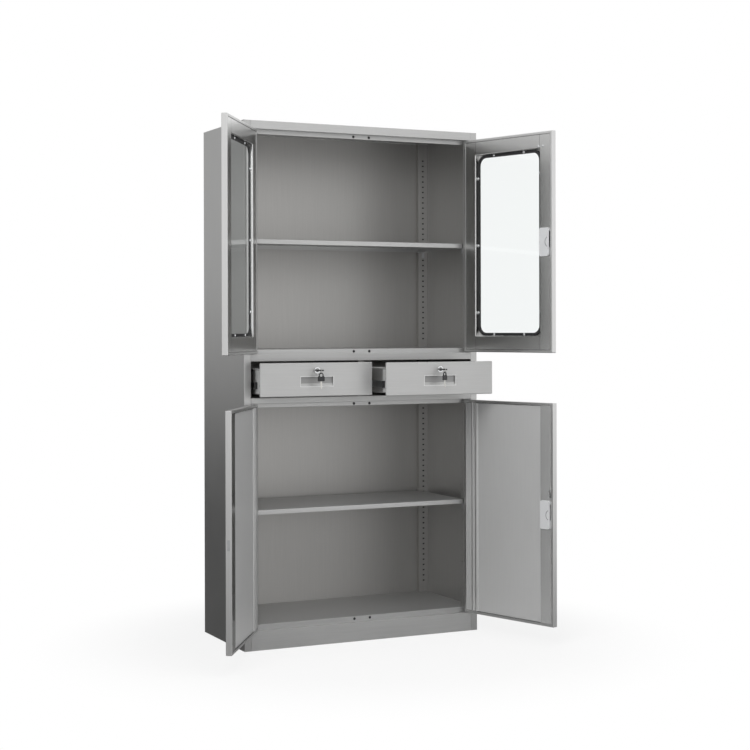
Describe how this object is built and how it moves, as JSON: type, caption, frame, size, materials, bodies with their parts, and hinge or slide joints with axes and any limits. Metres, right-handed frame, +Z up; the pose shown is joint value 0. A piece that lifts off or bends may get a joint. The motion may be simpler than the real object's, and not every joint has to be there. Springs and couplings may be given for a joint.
{
  "type": "glass door medical cabinet",
  "caption": "Tall stainless steel clinic cabinet with glazed upper doors, lockable drawers in the middle and solid lower doors, with adjustable shelves inside.",
  "frame": {"origin": "on the floor, at the middle of the plinth's front foot flange", "axes": "+Z up, +X to the right seen from the front, the front faces -Y"},
  "size_m": [1.1981, 0.7982, 1.8],
  "materials": {
    "stainless": "fine brushed stainless sheet",
    "zinc": "bright zinc plated steel",
    "chrome": "polished chrome plating",
    "glass": "clear float glass",
    "rubber": "black extruded rubber",
    "white_plastic": "satin white moulding",
    "grey_plastic": "satin grey moulding",
    "key_plastic": "black moulded key heads on plated steel"
  },
  "bodies": {
    "carcass": {"back_panel": "stainless", "bottom_deck": "stainless", "drawer_deck": "stainless", "drawer_divider": "stainless", "left_drawer_inner_rail": "zinc", "left_drawer_outer_rail": "zinc", "left_rear_upright": "stainless", "left_side_panel": "stainless", "lower_left_front_clip": "zinc", "lower_left_hinge_pin": "zinc", "lower_left_rear_clip": "zinc", "lower_right_front_clip": "zinc", "lower_right_hinge_pin": "zinc", "lower_right_rear_clip": "zinc", "lower_shelf": "stainless", "right_drawer_inner_rail": "zinc", "right_drawer_outer_rail": "zinc", "right_rear_upright": "stainless", "right_side_panel": "stainless", "top_panel": "stainless", "upper_deck": "stainless", "upper_left_front_clip": "zinc", "upper_left_hinge_pin": "zinc", "upper_left_rear_clip": "zinc", "upper_right_front_clip": "zinc", "upper_right_hinge_pin": "zinc", "upper_right_rear_clip": "zinc", "upper_shelf": "stainless"},
    "upper_left_door": {"upper_left_door_glass": "glass", "upper_left_door_liner": "stainless", "upper_left_door_seal": "rubber", "upper_left_door_skin": "stainless"},
    "upper_right_door": {"upper_right_door_glass": "glass", "upper_right_door_liner": "stainless", "upper_right_door_seal": "rubber", "upper_right_door_skin": "stainless", "upper_right_lock_cover": "white_plastic", "upper_right_pull": "grey_plastic"},
    "lower_left_door": {"lower_left_door_panel": "stainless", "lower_left_door_skin": "stainless"},
    "lower_right_door": {"lower_right_door_panel": "stainless", "lower_right_door_skin": "stainless", "lower_right_lock_cover": "white_plastic", "lower_right_pull": "grey_plastic"},
    "left_drawer": {"left_drawer_front": "stainless", "left_drawer_inner_slide": "zinc", "left_drawer_lock": "chrome", "left_drawer_outer_slide": "zinc", "left_drawer_tray": "stainless"},
    "right_drawer": {"right_drawer_front": "stainless", "right_drawer_inner_slide": "zinc", "right_drawer_lock": "chrome", "right_drawer_outer_slide": "zinc", "right_drawer_tray": "stainless"},
    "upper_door_lock": {"upper_right_lock_barrel": "chrome"},
    "lower_door_lock": {"lower_right_lock_barrel": "chrome"},
    "left_key": {"left_drawer_key": "key_plastic"},
    "right_key": {"right_drawer_key": "key_plastic"},
    "left_spare_key": {"left_drawer_spare_key": "key_plastic"},
    "right_spare_key": {"right_drawer_spare_key": "key_plastic"}
  },
  "joints": [
    {"name": "upper_left_door_hinge", "type": "hinge", "parent": "carcass", "child": "upper_left_door", "pos_m": [-0.417, -0.011, 1.389], "axis": [0, 0, -1], "range_deg": [-124.3, 0.7]},
    {"name": "upper_right_door_hinge", "type": "hinge", "parent": "carcass", "child": "upper_right_door", "pos_m": [0.417, -0.011, 1.389], "axis": [0, 0, 1], "range_deg": [-106.9, 18.1]},
    {"name": "lower_left_door_hinge", "type": "hinge", "parent": "carcass", "child": "lower_left_door", "pos_m": [-0.417, -0.011, 0.452], "axis": [0, 0, -1], "range_deg": [-122.8, 2.2]},
    {"name": "lower_right_door_hinge", "type": "hinge", "parent": "carcass", "child": "lower_right_door", "pos_m": [0.417, -0.011, 0.452], "axis": [0, 0, 1], "range_deg": [-107.2, 17.8]},
    {"name": "left_drawer_slide", "type": "slide", "parent": "carcass", "child": "left_drawer", "axis": [0, -1, 0], "range_m": [-0.0724, 0.1876]},
    {"name": "right_drawer_slide", "type": "slide", "parent": "carcass", "child": "right_drawer", "axis": [0, -1, 0], "range_m": [-0.1641, 0.0959]},
    {"name": "upper_door_lock_turn", "type": "hinge", "parent": "upper_right_door", "child": "upper_door_lock", "pos_m": [0.52811, -0.37669, 1.419], "axis": [-0.9568, -0.2907, 0], "range_deg": [0, 90]},
    {"name": "lower_door_lock_turn", "type": "hinge", "parent": "lower_right_door", "child": "lower_door_lock", "pos_m": [0.53002, -0.37611, 0.482], "axis": [-0.9553, -0.2957, 0], "range_deg": [0, 90]},
    {"name": "left_key_turn", "type": "hinge", "parent": "left_drawer", "child": "left_key", "pos_m": [-0.2125, -0.0874, 0.9515], "axis": [0, -1, 0], "range_deg": [0, 90]},
    {"name": "left_spare_key_swing", "type": "hinge", "parent": "left_key", "child": "left_spare_key", "pos_m": [-0.2125, -0.1219, 0.9471], "axis": [-1, 0, 0], "range_deg": [-28, 70]},
    {"name": "right_key_turn", "type": "hinge", "parent": "right_drawer", "child": "right_key", "pos_m": [0.2125, -0.1791, 0.9515], "axis": [0, 1, 0], "range_deg": [0, 90]},
    {"name": "right_spare_key_swing", "type": "hinge", "parent": "right_key", "child": "right_spare_key", "pos_m": [0.2125, -0.2136, 0.9471], "axis": [-1, 0, 0], "range_deg": [-28, 70]}
  ]
}
